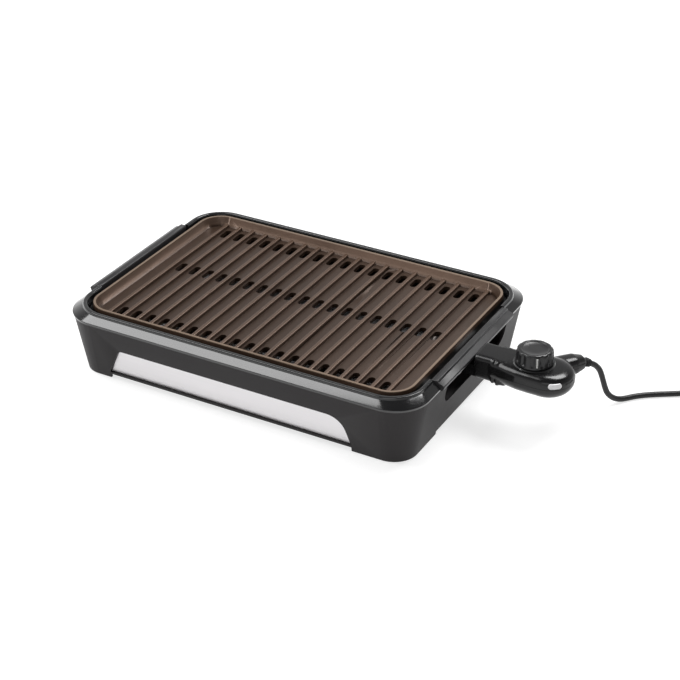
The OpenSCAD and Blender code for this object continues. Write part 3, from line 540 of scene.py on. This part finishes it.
def makeBoot(boot):
    rows = [bootRing(boot, -boot["inside"], boot["body"]), bootRing(boot, -2.4, boot["body"])]
    for k in range(boot["steps"] + 1):
        t = boot["start"] + (boot["outside"] - boot["start"]) * k / boot["steps"]
        radius = boot["thick"] + (boot["thin"] - boot["thick"]) * max(0, t) / boot["outside"]
        phase = (t - boot["ribFirst"]) / boot["ribPitch"]
        inside = -0.5 <= phase <= boot["ribs"] - 0.5
        rib = max(0.0, math.cos(2 * math.pi * phase)) ** 0.4 if inside else 0.0
        rows.append(bootRing(boot, t, radius + boot["ribOut"] * rib * (1 - boot["ribFade"] * max(0, phase))))
    rows.append(bootRing(boot, boot["outside"], boot["thin"] - 0.35))
    rows.append(bootRing(boot, boot["outside"] - 0.3, boot["tip"]))
    verts, faces = skin(rows)
    mesh = meshFrom("cordBoot", verts, faces)
    piece = addPiece("cordBoot", mesh, "cordBlack", "control", ["strain_relief"], 50)
    return piece


bootPiece = makeBoot(cordBoot)

# Glossy frame round the rim

rimFrame = {
    "width": 480, "depth": 336, "edgeCorner": 44, "beadCorner": 53, "endY": 96.8,
    "section": [
        (0.05, 79, 0.8), (9.2, 85, 0.5), (9.8, 87, 0.5), (10.4, 88, 0.9), (14.4, 88, 1.1),
        (15.5, 86.2, 0.4), (15.5, 72, 0.3), (11.6, 72, 0.3), (11.4, 76, 0.2), (0.8, 76, 0.25)],
}


def rimRow(rim, inset, height, side):
    wide = eased(inset, 0.5, 9.6)
    radius = rim["edgeCorner"] + (rim["beadCorner"] - rim["edgeCorner"]) * wide - inset
    halfW, halfD = rim["width"] / 2 - inset, rim["depth"] / 2 - inset
    row = [(halfW, rim["endY"], height), (halfW, (rim["endY"] + halfD - radius) / 2, height)]
    steps = 26
    for sx, first in ((1, 0), (-1, 90)):
        for k in range(steps + 1):
            a = math.radians(first + 90 * k / steps)
            x = sx * (halfW - radius) + radius * math.cos(a)
            row.append((x, halfD - radius + radius * math.sin(a), height))
    row += [(-halfW, (rim["endY"] + halfD - radius) / 2, height), (-halfW, rim["endY"], height)]
    return [(x, y * side, z) for x, y, z in row]


def makeFrameHalf(name, rim, side, node):
    section = roundedSection(rim["section"], 4)
    across = [rimRow(rim, d, z, side) for d, z in section]
    rows = [[row[k] for row in across] for k in range(len(across[0]))]
    verts, faces = skin(rows)
    piece = addPiece(name, meshFrom(name, verts, faces), "bezelBlack", "base", [node], 40)


makeFrameHalf("bezelFront", rimFrame, -1, "front_bezel")
makeFrameHalf("bezelRear", rimFrame, 1, "rear_bezel")

# Carrying bars

carryBar = {
    "half": 96, "endEdge": 0.55, "endFine": 0.12, "middle": (235, 81),
    "section": [
        (244, 80.6, 0.5), (243.9, 82.2, 1.0), (236.2, 85.3, 0.8), (235.3, 87.5, 0.9), (227.8, 87.5, 1.6),
        (227, 84.5, 0.4), (227, 76, 0.4), (242.2, 76, 1.2)],
}


def makeBar(name, bar, sign, node):
    section = roundedSection(bar["section"], 4)
    rows = []
    edge, fine = bar["endEdge"], bar["endFine"]
    stations = ((-1, edge), (-1, fine), (-1, 0), (-0.5, 0), (0, 0), (0.5, 0), (1, 0), (1, fine), (1, edge))
    for y, shrink in stations:
        place = y * (bar["half"] - (edge - shrink if abs(y) == 1 else 0))
        row = []
        for x, z in section:
            dx, dz = x - bar["middle"][0], z - bar["middle"][1]
            size = max(1e-6, math.hypot(dx, dz))
            row.append((sign * (x - dx / size * shrink), place * sign, z - dz / size * shrink))
        rows.append(row)
    verts, faces = skin(rows)
    piece = addPiece(name, meshFrom(name, verts, faces), "barCharcoal", "plate", [node], 40)


makeBar("barLeft", carryBar, -1, "handle_left")
makeBar("barRight", carryBar, 1, "handle_right")
print("frame and bars made")

# Base, panel, feet, tray and plate: CAD shapes with their edges broken

baseEdges = {
    "width": 2.4, "fine": 0.25, "footLine": 1.5, "lineNear": 0.05, "footInset": 14.5, "insetNear": 0.3,
    "corner": 44,
}


def baseShare(edge):
    low = all(abs(v.co.z / mm - baseEdges["footLine"]) < baseEdges["lineNear"] for v in edge.verts)
    farthest = baseEdges["footInset"] + baseEdges["insetNear"]
    outer = all(insetOf(v.co, baseEdges["corner"]) < farthest for v in edge.verts)
    return 1.0 if low and outer else baseEdges["fine"]


plateRibs = {
    "count": 20, "pitch": 20, "length": 276, "width": 5, "height": 4, "edge": 1.1, "floor": 76, "sunk": 3,
    "corner": 53, "inside": 26, "below": 0.2,
}


def flattenRibs(work):
    for vert in work.verts:
        above = vert.co.z / mm - plateRibs["floor"]
        inside = insetOf(vert.co, plateRibs["corner"]) > plateRibs["inside"]
        if plateRibs["below"] < above < plateRibs["height"] + plateRibs["below"] and inside:
            vert.co.z = (plateRibs["floor"] - plateRibs["below"]) * mm


softenedNode("base_shell", "baseShell", "baseCharcoal", "base", baseEdges["width"],
             share=baseShare)
softenedNode("front_panel", "frontPanel", "panelSilver", "base", 0.25)
softenedNode("rubber_feet", "rubberFeet", "footRubber", "base", 0.6)
softenedNode("drip_tray", "dripTray", "traySheet", "tray", 0.5)
softenedNode("cooking_plate", "cookingPlate", "plateBronze", "plate", 0.7,
             reshape=flattenRibs)


# A node tree whose inputs are the given sizes; build(tree, start) returns the geometry to hand on
def nodeTree(name, sizes, build, material):
    tree = bpy.data.node_groups.new(name, "GeometryNodeTree")
    tree.interface.new_socket("Geometry", in_out="INPUT", socket_type="NodeSocketGeometry")
    for label, number in sizes.items():
        kind = "NodeSocketInt" if isinstance(number, int) else "NodeSocketFloat"
        tree.interface.new_socket(label, in_out="INPUT", socket_type=kind)
    tree.interface.new_socket("Geometry", in_out="OUTPUT", socket_type="NodeSocketGeometry")
    start, end = tree.nodes.new("NodeGroupInput"), tree.nodes.new("NodeGroupOutput")
    real = tree.nodes.new("GeometryNodeRealizeInstances")
    coat = tree.nodes.new("GeometryNodeSetMaterial")
    coat.inputs["Material"].default_value = finishes[material]
    tree.links.new(build(tree, start), real.inputs["Geometry"])
    tree.links.new(real.outputs["Geometry"], coat.inputs["Geometry"])
    tree.links.new(coat.outputs["Geometry"], end.inputs["Geometry"])
    return tree


# Runs a tree on a mesh of points and keeps the result as a plain mesh
def grownMesh(name, points, tree, sizes):
    seed = bpy.data.meshes.new(name + "Seed")
    seed.from_pydata([toRow(p) for p in points], [], [])
    holder = bpy.data.objects.new(name + "Seed", seed)
    bpy.context.scene.collection.objects.link(holder)
    grow = holder.modifiers.new("grow", "NODES")
    grow.node_group = tree
    for socket in tree.interface.items_tree:
        if socket.in_out == "INPUT" and socket.name in sizes:
            grow[socket.identifier] = sizes[socket.name]
    mesh = bpy.data.meshes.new_from_object(holder.evaluated_get(bpy.context.evaluated_depsgraph_get()))
    bpy.data.objects.remove(holder)
    work = bmesh.new()
    work.from_mesh(mesh)
    bmesh.ops.remove_doubles(work, verts=work.verts, dist=1e-6)
    bmesh.ops.recalc_face_normals(work, faces=work.faces)
    work.to_mesh(mesh)
    work.free()
    mesh.name = name
    return mesh


def sized(tree, kind, mode=None, **inputs):
    node = tree.nodes.new(kind)
    if mode:
        node.mode = mode
    for socket, value in inputs.items():
        label = socket.replace("_", " ")
        if isinstance(value, bpy.types.NodeSocket):
            tree.links.new(value, node.inputs[label])
        else:
            node.inputs[label].default_value = value
    return node


def scaled(tree, value, factor):
    return combine(tree, "MULTIPLY", value, factor)


def along(tree, axis, value):
    return sized(tree, "ShaderNodeCombineXYZ", **{axis: value}).outputs["Vector"]


# Raised ribs of the plate: a rounded bar swept along Y and set out at the pitch from the seed point
def ribRow(tree, start):
    sweep = sized(tree, "GeometryNodeCurvePrimitiveLine",
                  Start=along(tree, "Y", scaled(tree, start.outputs["Length"], -0.5)),
                  End=along(tree, "Y", scaled(tree, start.outputs["Length"], 0.5)))
    face = sized(tree, "GeometryNodeCurvePrimitiveQuadrilateral",
                 Width=start.outputs["Width"], Height=start.outputs["Height"])
    rounded = sized(tree, "GeometryNodeFilletCurve", "POLY", Curve=face.outputs["Curve"], Count=3,
                    Radius=start.outputs["Edge Radius"])
    rib = sized(tree, "GeometryNodeCurveToMesh", Curve=sweep.outputs["Curve"],
                Profile_Curve=rounded.outputs["Curve"], Fill_Caps=True)
    row = sized(tree, "GeometryNodeMeshLine", Count=start.outputs["Rib Count"],
                Offset=along(tree, "X", start.outputs["Rib Pitch"]))
    ribs = sized(tree, "GeometryNodeInstanceOnPoints", Points=row.outputs["Mesh"],
                 Instance=rib.outputs["Mesh"])
    group = sized(tree, "GeometryNodeInstanceOnPoints", Points=start.outputs["Geometry"],
                  Instance=ribs.outputs["Instances"])
    return group.outputs["Instances"]


ribSizes = {
    "Rib Count": plateRibs["count"], "Rib Pitch": plateRibs["pitch"] * mm, "Length": plateRibs["length"] * mm,
    "Width": plateRibs["width"] * mm, "Height": (plateRibs["height"] + plateRibs["sunk"]) * mm,
    "Edge Radius": plateRibs["edge"] * mm}
ribTree = nodeTree("ribRow", ribSizes, ribRow, "plateBronze")
firstRib = (-(plateRibs["count"] - 1) / 2 * plateRibs["pitch"], 0,
            plateRibs["floor"] + (plateRibs["height"] - plateRibs["sunk"]) / 2)
ribMesh = grownMesh("plateRibs", [firstRib], ribTree, ribSizes)
ribPiece = addPiece("plateRibs", ribMesh, "plateBronze", "plate")
print("base and plate made")


# Screws: a domed head with a cross recess below the point, its shank above it
def crossScrew(tree, start):
    head, deep = start.outputs["Head Diameter"], start.outputs["Head Height"]
    disc = sized(tree, "GeometryNodeMeshCylinder", Vertices=24, Radius=scaled(tree, head, 0.5),
                 Depth=scaled(tree, deep, 0.6))
    discAt = sized(tree, "GeometryNodeTransform", Geometry=disc.outputs["Mesh"],
                   Translation=along(tree, "Z", scaled(tree, deep, -0.3)))
    dome = sized(tree, "GeometryNodeMeshCone", Vertices=24, Radius_Top=scaled(tree, head, 0.36),
                 Radius_Bottom=scaled(tree, head, 0.5), Depth=scaled(tree, deep, 0.4))
    domeAt = sized(tree, "GeometryNodeTransform", Geometry=dome.outputs["Mesh"], Rotation=(math.pi, 0, 0),
                   Translation=along(tree, "Z", scaled(tree, deep, -0.6)))
    cuts = []
    for turned in (False, True):
        size = tree.nodes.new("ShaderNodeCombineXYZ")
        for axis, share in zip("XYZ", (0.14, 0.56, 0.8) if turned else (0.56, 0.14, 0.8)):
            tree.links.new(scaled(tree, head if axis != "Z" else deep, share), size.inputs[axis])
        slotCut = sized(tree, "GeometryNodeMeshCube", Size=size.outputs["Vector"])
        cuts.append(sized(tree, "GeometryNodeTransform", Geometry=slotCut.outputs["Mesh"],
                          Translation=along(tree, "Z", scaled(tree, deep, -1.0))).outputs["Geometry"])
    solid = tree.nodes.new("GeometryNodeMeshBoolean")
    solid.operation = "UNION"
    solid.solver = "EXACT"
    for part in (discAt, domeAt):
        tree.links.new(part.outputs["Geometry"], solid.inputs["Mesh 2"])
    carved = tree.nodes.new("GeometryNodeMeshBoolean")
    carved.operation = "DIFFERENCE"
    carved.solver = "EXACT"
    tree.links.new(solid.outputs["Mesh"], carved.inputs["Mesh 1"])
    for cut in cuts:
        tree.links.new(cut, carved.inputs["Mesh 2"])
    shank = sized(tree, "GeometryNodeMeshCylinder", Vertices=16,
                  Radius=scaled(tree, start.outputs["Shank Diameter"], 0.5),
                  Depth=start.outputs["Shank Length"])
    shankAt = sized(tree, "GeometryNodeTransform", Geometry=shank.outputs["Mesh"],
                    Translation=along(tree, "Z", scaled(tree, start.outputs["Shank Length"], 0.5)))
    whole = tree.nodes.new("GeometryNodeJoinGeometry")
    for part in (carved.outputs["Mesh"], shankAt.outputs["Geometry"]):
        tree.links.new(part, whole.inputs["Geometry"])
    placed = sized(tree, "GeometryNodeInstanceOnPoints", Points=start.outputs["Geometry"],
                   Instance=whole.outputs["Geometry"])
    return placed.outputs["Instances"]


screwSets = {
    "bezelScrews": ("bezel_screws", "base", 12, [
        (x, y, 69) for x in (-168, 0, 168) for y in (-154.6, 154.6)]),
    "barScrews": ("handle_screws", "plate", 10, [(x, y, 73) for x in (-234, 234) for y in (-62, 62)]),
    "strapScrews": ("clamp_screws", "plate", 7, [
        (x, y + s, 61.1) for x, y in ((-90, -100), (-90, 100), (90, -100), (90, 100), (-30, -45), (-30, 45))
        for s in (-9, 9)]),
    "channelScrews": ("shroud_screws", "plate", 4.2, [(196, y, 70) for y in (-24, 24)]),
    "caseScrews": ("case_screws", "control", 16, [
        (281, 15, 61), (281, -15, 61), (350, 9, 61), (350, -9, 61)]),
}
screwSizes = {
    "Head Diameter": 5.6 * mm, "Head Height": 2 * mm, "Shank Diameter": 3 * mm, "Shank Length": 12 * mm,
}
screwTree = nodeTree("crossScrew", screwSizes, crossScrew, "plainSteel")
for name, (node, body, length, places) in screwSets.items():
    sizes = dict(screwSizes, **{"Shank Length": length * mm})
    screwPiece = addPiece(name, grownMesh(name, places, screwTree, sizes), "plainSteel", body, [node])
print("screws set")

# Control: body, neck and spout fused into one moulding, then parted along its seam

controlCase = {
    "endX": 330, "endR": 31, "partingZ": 70, "voxel": 0.9, "smooth": 8, "seamHalf": 0.16,
    "section": [
        (4, 84.0), (12, 84.0), (18, 83.8), (22, 83.3), (25.5, 82.2), (28.2, 80.4), (30, 78), (30.9, 75),
        (31, 72), (31, 68), (30.4, 65), (28.8, 61.6), (26, 58), (22, 55), (17, 52.6),
        (12, 51.2), (6, 50.4), (3, 50.2)],
    "neck": [(244.6, -1.2), (245.8, 0), (256, 0), (266.6, 0.2), (267.4, 1.5), (269.6, 1.5), (270.4, 0.5),
             (272.4, 0.6), (273.2, 2.4), (275.6, 2.4), (276.6, 1.6), (284, 1.0)],
    "neckHalf": 20, "neckLow": 53.4, "neckHigh": 84,
    "flank": [(266, 22.6), (276, 24.2), (288, 27.4), (300, 29.8), (315, 30.8)],
    "spoutAngle": 52, "spoutFrom": (312, 0, 70), "spoutSquare": 0.7,
    "spout": [(18, 15, 11.5), (30, 13, 11.4), (44, 12.4, 11.2), (53, 11.9, 11), (54, 11.4, 10.6),
              (64, 8.0, 7.9), (64.9, 7.4, 7.3)],
}


def bodyRow(case, half, height):
    inset = case["endR"] - half
    side = []
    for x, wide in case["flank"]:
        side.append((x, max(0.6, wide - inset)))
    row = [(x, -w, height) for x, w in side]
    for k in range(25):
        a = math.radians(-90 + 180 * k / 24)
        row.append((case["endX"] + half * math.cos(a), half * math.sin(a), height))
    return row + [(x, w, height) for x, w in reversed(side)]


def neckRow(case, x, grow):
    half, low, high = case["neckHalf"] + grow, case["neckLow"] - grow, case["neckHigh"] + min(grow, 0.2) * 0.2
    section = roundedSection([(-half, low, 6), (half, low, 6), (half, high, 7), (-half, high, 7)], 6)
    return [(x, y, z) for y, z in section]


def spoutRow(case, reach, wide, tall):
    angle = math.radians(case["spoutAngle"])
    out = Vector((math.cos(angle), math.sin(angle), 0))
    side = Vector((-out.y, out.x, 0))
    row = []
    for k in range(32):
        a = 2 * math.pi * k / 32
        c, s = math.cos(a), math.sin(a)
        u = math.copysign(abs(c) ** case["spoutSquare"], c) * wide
        v = math.copysign(abs(s) ** case["spoutSquare"], s) * tall
        row.append(tuple(Vector(case["spoutFrom"]) + out * reach + side * u + Vector((0, 0, v))))
    return row


def makeCase(case):
    verts, faces = [], []

    def gather(rows):
        v, f = skin(rows)
        faces.extend(tuple(i + len(verts) for i in face) for face in f)
        verts.extend(v)

    gather([bodyRow(case, half, height) for half, height in case["section"]])
    gather([neckRow(case, x, grow) for x, grow in case["neck"]])
    gather([spoutRow(case, reach, wide, tall) for reach, wide, tall in case["spout"]])
    mesh = bpy.data.meshes.new("controlWork")
    mesh.from_pydata([toRow(v) for v in verts], [], faces)
    work = bmesh.new()
    work.from_mesh(mesh)
    bmesh.ops.recalc_face_normals(work, faces=work.faces)
    work.to_mesh(mesh)
    work.free()
    blank = bpy.data.objects.new("controlWork", mesh)
    bpy.context.scene.collection.objects.link(blank)
    remesh = blank.modifiers.new("fuse", "REMESH")
    remesh.mode = "VOXEL"
    remesh.voxel_size = case["voxel"] * mm
    ease = blank.modifiers.new("ease", "SMOOTH")
    ease.factor = 0.5
    ease.iterations = case["smooth"]
    fused = bpy.data.meshes.new_from_object(blank.evaluated_get(bpy.context.evaluated_depsgraph_get()))
    bpy.data.objects.remove(blank)
    for name, node, up in (("controlTop", "control_top_case", True),
                           ("controlBottom", "control_bottom_case", False)):
        half = bmesh.new()
        half.from_mesh(fused)
        gap = case["seamHalf"] if up else -case["seamHalf"]
        bmesh.ops.bisect_plane(
            half, geom=half.verts[:] + half.edges[:] + half.faces[:], dist=1e-7,
            plane_co=(0, 0, (case["partingZ"] + gap) * mm), plane_no=(0, 0, 1),
            clear_inner=up, clear_outer=not up)
        edges = [e for e in half.edges if e.is_boundary]
        bmesh.ops.holes_fill(half, edges=edges, sides=0)
        part = bpy.data.meshes.new(name)
        half.to_mesh(part)
        half.free()
        piece = addPiece(name, part, "controlBlack", "control", [node], 50)
    bpy.data.meshes.remove(fused)


makeCase(controlCase)
print("control case made")

# Knob: fluted side, dished top, a flat where its pointer stands

turnKnob = {
    "x": 312, "low": 85.8, "high": 103.2, "flutes": 12, "fluteDeep": 1.5, "pointer": -60,
    "perFlute": 14,
}


def makeKnob(knob):
    tall = knob["high"] - knob["low"]
    profile = [
        (21.0, 0, 0), (22, 0.5, 0), (22.0, 2.6, 0), (21.9, 3.4, 0.5), (21.85, 4.2, 1), (21.7, 8, 1),
        (21.55, 12, 1), (21.4, tall - 4.2, 1), (21.2, tall - 2.4, 0.9), (20.4, tall - 1.0, 0.6),
        (19.4, tall - 0.3, 0.25), (18.4, tall, 0), (16.4, tall, 0), (15.9, tall - 0.15, 0),
        (15.4, tall - 0.7, 0), (14.8, tall - 1.0, 0), (8, tall - 1.25, 0), (2, tall - 1.3, 0)]
    steps = knob["flutes"] * knob["perFlute"]
    rows = []
    for r, z, share in profile:
        row = []
        for k in range(steps):
            turn = 2 * math.pi * k / steps
            wave = max(0.0, -math.cos(knob["flutes"] * turn)) ** 0.75
            reach = r - knob["fluteDeep"] * share * wave
            a = turn + math.radians(knob["pointer"])
            row.append((knob["x"] + reach * math.cos(a), reach * math.sin(a), knob["low"] + z))
        rows.append(row)
    verts, faces = skin(rows)
    mesh = meshFrom("turnKnob", verts, faces)
    piece = addPiece("turnKnob", mesh, "knobBlack", "knob", ["control_knob"], 38)


makeKnob(turnKnob)

pointerBar = {
    "half": 1.1, "low": 88.8, "high": 100.8, "inner": 19.4, "outerLow": 22.1, "outerHigh": 21.75,
    "edge": 0.45,
}


# White bar let into the knob's side, standing just proud of it
def makePointer(bar, knob):
    turn = math.radians(knob["pointer"])
    out, side = Vector((math.cos(turn), math.sin(turn), 0)), Vector((-math.sin(turn), math.cos(turn), 0))
    rows = []
    for z, shrink in ((bar["low"], bar["edge"]), (bar["low"] + bar["edge"], 0),
                      (bar["high"] - bar["edge"], 0), (bar["high"], bar["edge"])):
        share = (z - bar["low"]) / (bar["high"] - bar["low"])
        face = bar["outerLow"] + (bar["outerHigh"] - bar["outerLow"]) * share - shrink
        half = bar["half"] - shrink * 0.5
        row = [(bar["inner"], -half), (face - bar["edge"], -half), (face, -half + bar["edge"]),
               (face, half - bar["edge"]), (face - bar["edge"], half), (bar["inner"], half)]
        rows.append([tuple(Vector((knob["x"], 0, z)) + out * r + side * w) for r, w in row])
    verts, faces = skin(rows)
    mesh = meshFrom("knobPointer", verts, faces)
    piece = addPiece("knobPointer", mesh, "pointerWhite", "knob", ["knob_pointer"], 30)


makePointer(pointerBar, turnKnob)

# Every CAD node that stays, with its finish

keptNodes = {
    "panel_clips": "plainSteel", "heating_element": "heaterTube", "element_clamps": "plainSteel",
    "terminal_block": "whiteCeramic", "terminal_pins": "plainSteel", "socket_shroud": "plainSteel",
    "control_nose": "controlBlack", "contact_sleeves": "contactBrass", "sensor_probe": "plainSteel",
    "thermostat": "whiteCeramic", "dial_ring": "ringGloss", "indicator_lens": "milkWindow",
    "indicator_lamp": "orangeLamp", "cord_clamp": "plugBlack", "knob_shaft": "plainSteel",
    "cord_tie": "plugBlack", "plug_body": "plugBlack", "plug_pins": "plainSteel",
}
for node, finish in keptNodes.items():
    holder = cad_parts[node]
    holder.data.materials.clear()
    holder.data.materials.append(finishes[finish])

# Floor, light and background

studio = {
    "worldLow": 1.05, "worldHigh": 0.07, "worldTurn": 0.45, "floorColour": 0.40, "floorLift": 0.72,
    "lamps": [
        {"name": "topLeftBox", "at": (-1.05, -0.35, 1.7), "size": (1.1, 1.3), "watts": 30},
        {"name": "backRightBox", "at": (0.42, 1.08, 1.9), "size": (1.2, 0.9), "watts": 46},
        {"name": "frontFill", "at": (0.9, -2.2, 1.3), "size": (1.6, 1.0), "watts": 7},
    ],
}


def makeFloor(look):
    mesh = bpy.data.meshes.new("floor")
    mesh.from_pydata([(-9, -9, 0), (9, -9, 0), (9, 9, 0), (-9, 9, 0)], [], [(0, 1, 2, 3)])
    material, tree, shader = startMaterial("floorPaper")
    shader.inputs["Base Color"].default_value = (*[look["floorColour"]] * 3, 1)
    shader.inputs["Roughness"].default_value = 0.8
    shader.inputs["Specular IOR Level"].default_value = 0.1
    rays = tree.nodes.new("ShaderNodeLightPath")
    seen = combine(tree, "ADD", rays.outputs["Is Camera Ray"], rays.outputs["Is Glossy Ray"])
    seen = combine(tree, "MINIMUM", combine(tree, "ADD", seen, rays.outputs["Is Transmission Ray"]), 1)
    shader.inputs["Emission Color"].default_value = (1, 1, 1, 1)
    tree.links.new(combine(tree, "MULTIPLY", seen, look["floorLift"]), shader.inputs["Emission Strength"])
    mesh.materials.append(material)
    floor = bpy.data.objects.new("floor", mesh)
    bpy.context.scene.collection.objects.link(floor)


def makeWorld(look):
    world = bpy.data.worlds.new("studioWorld")
    bpy.context.scene.world = world
    world.use_nodes = True
    tree = world.node_tree
    back = tree.nodes["Background"]
    where = tree.nodes.new("ShaderNodeTexCoord")
    parts = tree.nodes.new("ShaderNodeSeparateXYZ")
    tree.links.new(where.outputs["Generated"], parts.inputs["Vector"])
    level = spreadTo(tree, parts.outputs["Z"], look["worldLow"], look["worldHigh"], 0.0, 0.75)
    right = spreadTo(tree, parts.outputs["X"], 1 + look["worldTurn"], 1 - look["worldTurn"], -1, 1)
    tree.links.new(combine(tree, "MULTIPLY", level, right), back.inputs["Strength"])
    back.inputs["Color"].default_value = (1, 1, 1, 1)


def makeLamp(lamp):
    data = bpy.data.lights.new(lamp["name"], "AREA")
    data.shape = "RECTANGLE"
    data.size, data.size_y = lamp["size"]
    data.energy = lamp["watts"]
    light = bpy.data.objects.new(lamp["name"], data)
    bpy.context.scene.collection.objects.link(light)
    light.location = lamp["at"]
    light.rotation_euler = (Vector((0, 0, 0.05)) - Vector(lamp["at"])).to_track_quat("-Z", "Y").to_euler()


makeFloor(studio)
makeWorld(studio)
for lamp in studio["lamps"]:
    makeLamp(lamp)
bpy.context.scene.view_settings.view_transform = "Standard"
print("studio lit")
